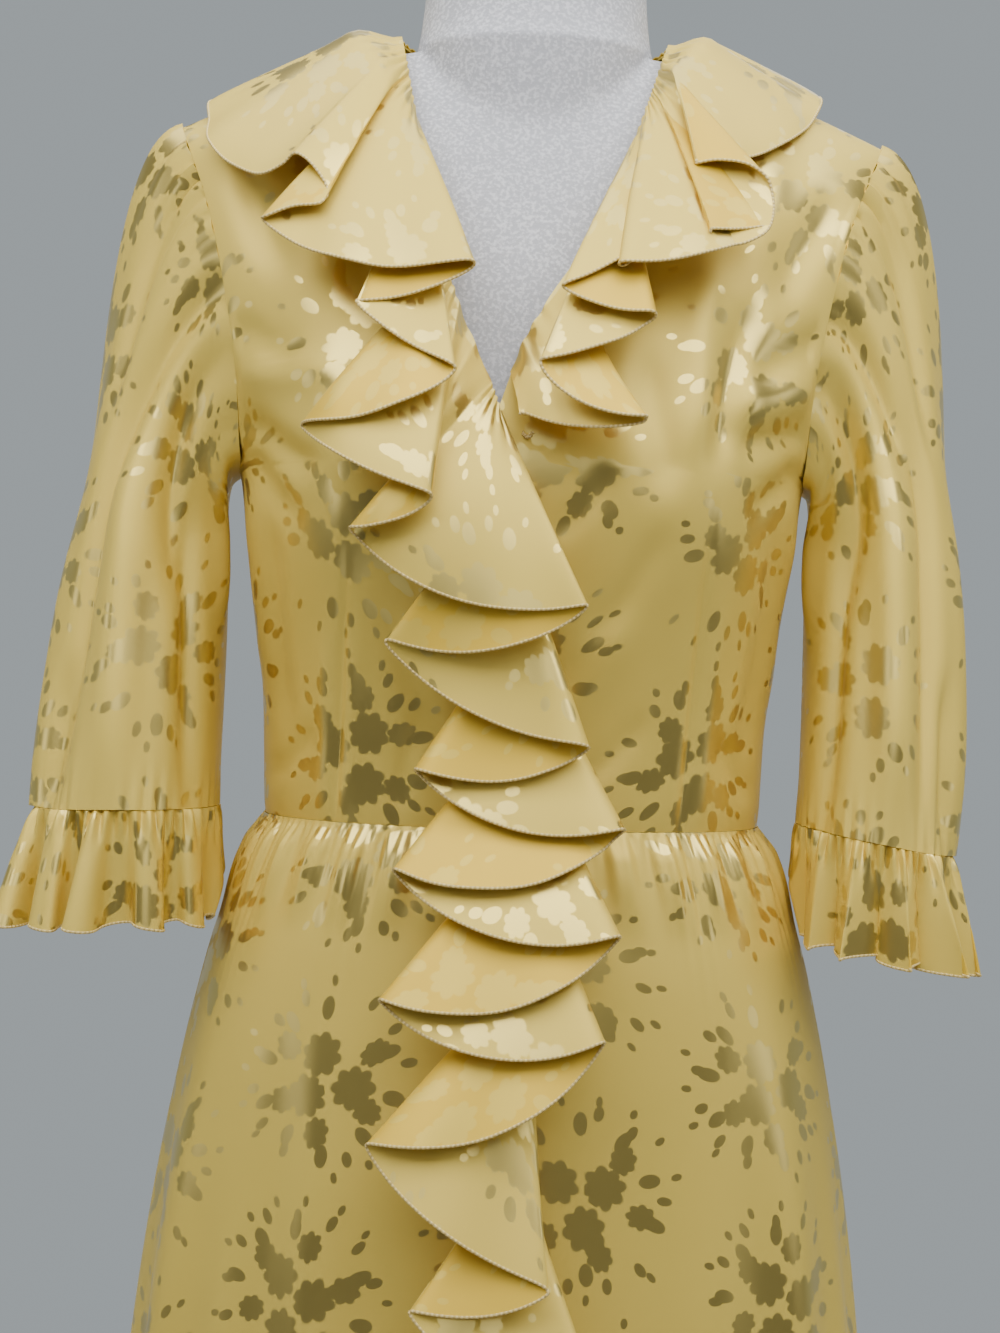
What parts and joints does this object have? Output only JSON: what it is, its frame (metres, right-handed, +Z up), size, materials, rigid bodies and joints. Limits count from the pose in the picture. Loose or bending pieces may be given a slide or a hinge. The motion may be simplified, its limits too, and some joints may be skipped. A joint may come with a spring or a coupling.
{
  "type": "wrap dress on a limbless dress form",
  "caption": "Knee-length wrap dress in satin, with a flounce round the neck and down the front edge and ruffled elbow sleeves, on a limbless dress form with a round stand.",
  "frame": {"origin": "middle of the stand's round underside, on the floor", "axes": "+Z up, the dress faces -Y, the wearer's left is at +X"},
  "size_m": [0.544, 0.4259, 1.56],
  "materials": {
    "satin": "pale yellow satin with a woven flower motif",
    "form_covering": "pale grey speckled covering",
    "stand": "satin grey paint"
  },
  "bodies": {
    "root": {"bodice_front_right": "satin", "bodice_front_left": "satin", "bodice_back": "satin", "skirt_front_right": "satin", "skirt_front_left": "satin", "skirt_back": "satin", "sleeve_right": "satin", "sleeve_left": "satin", "cuff_right": "satin", "cuff_left": "satin", "flounce_right": "satin", "flounce_left": "satin", "form_body": "form_covering", "form_pole": "stand", "form_base": "stand"}
  },
  "joints": []
}
